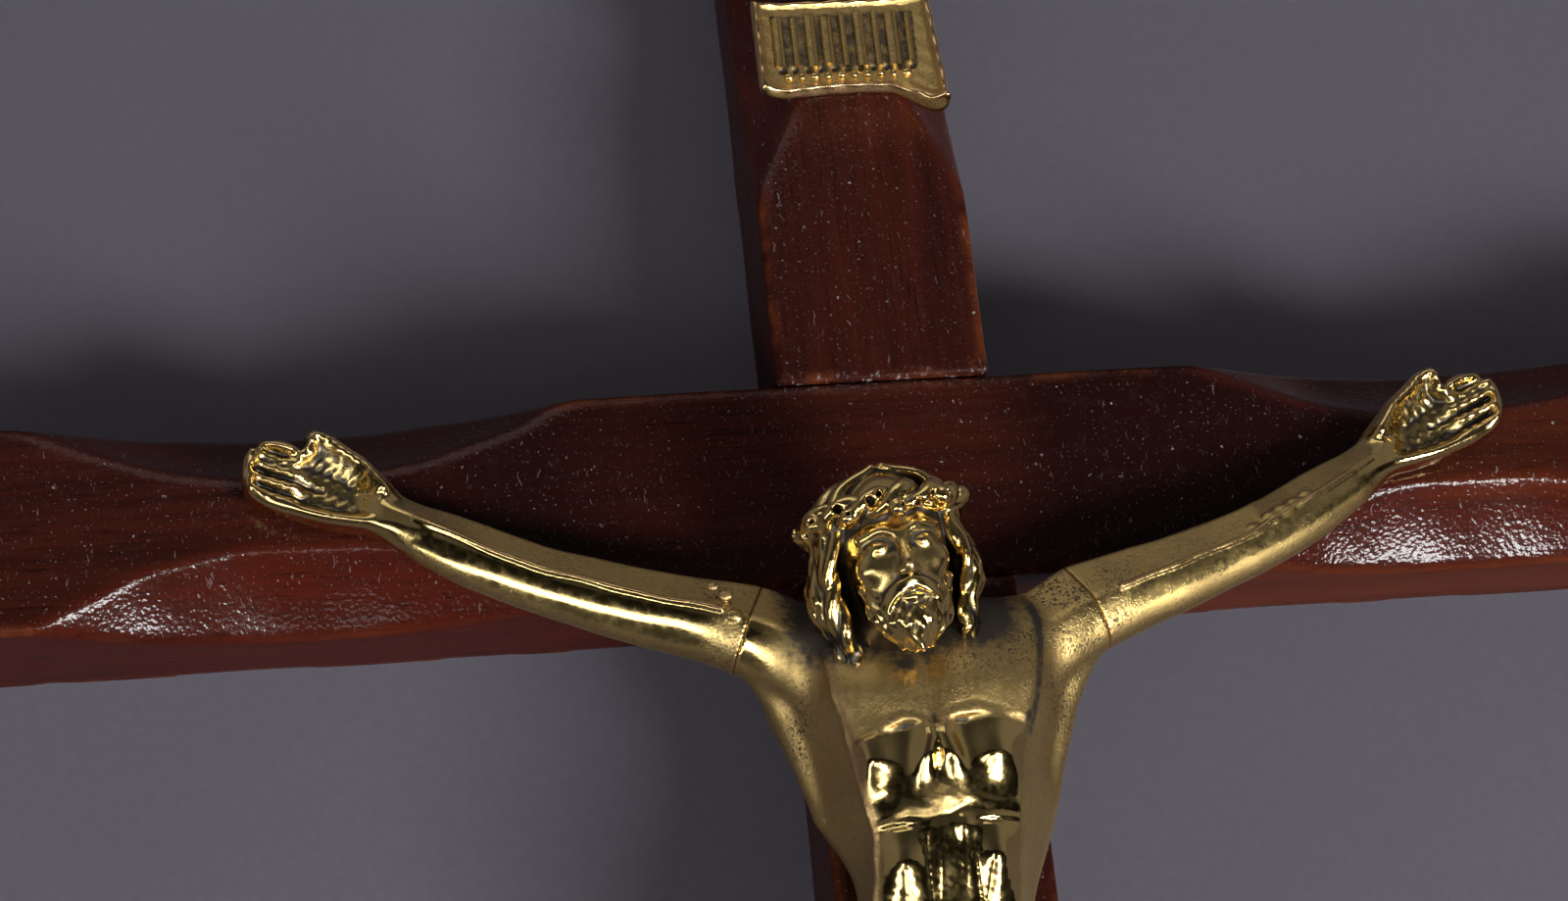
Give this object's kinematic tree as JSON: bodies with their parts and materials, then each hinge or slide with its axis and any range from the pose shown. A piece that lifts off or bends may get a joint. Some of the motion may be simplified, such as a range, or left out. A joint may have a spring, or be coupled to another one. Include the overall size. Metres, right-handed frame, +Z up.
{
  "type": "wall crucifix",
  "caption": "Wooden wall cross with scalloped edges and a half-lap joint, carrying a cast brass corpus and a curled titulus plate; hangs from a blind hole in its back.",
  "frame": {"origin": "on the back of the cross, where the middle lines of the two bars meet", "axes": "+Z up along the upright, +Y out of the back towards the wall, -Y out of the front, +X to the viewer's right"},
  "size_m": [0.184, 0.0355, 0.3],
  "materials": {
    "wood": "mahogany stain under gloss varnish",
    "corpus_brass": "cast, polished on the front, dark in the hollows",
    "titulus_brass": "cast, lightly polished on the high spots",
    "screw_steel": "plain turned steel"
  },
  "bodies": {
    "root": {"upright": "wood", "crossbeam": "wood", "corpus_body": "corpus_brass", "corpus_right_arm": "corpus_brass", "corpus_left_arm": "corpus_brass", "titulus": "titulus_brass", "corpus_screws": "screw_steel"}
  },
  "joints": []
}
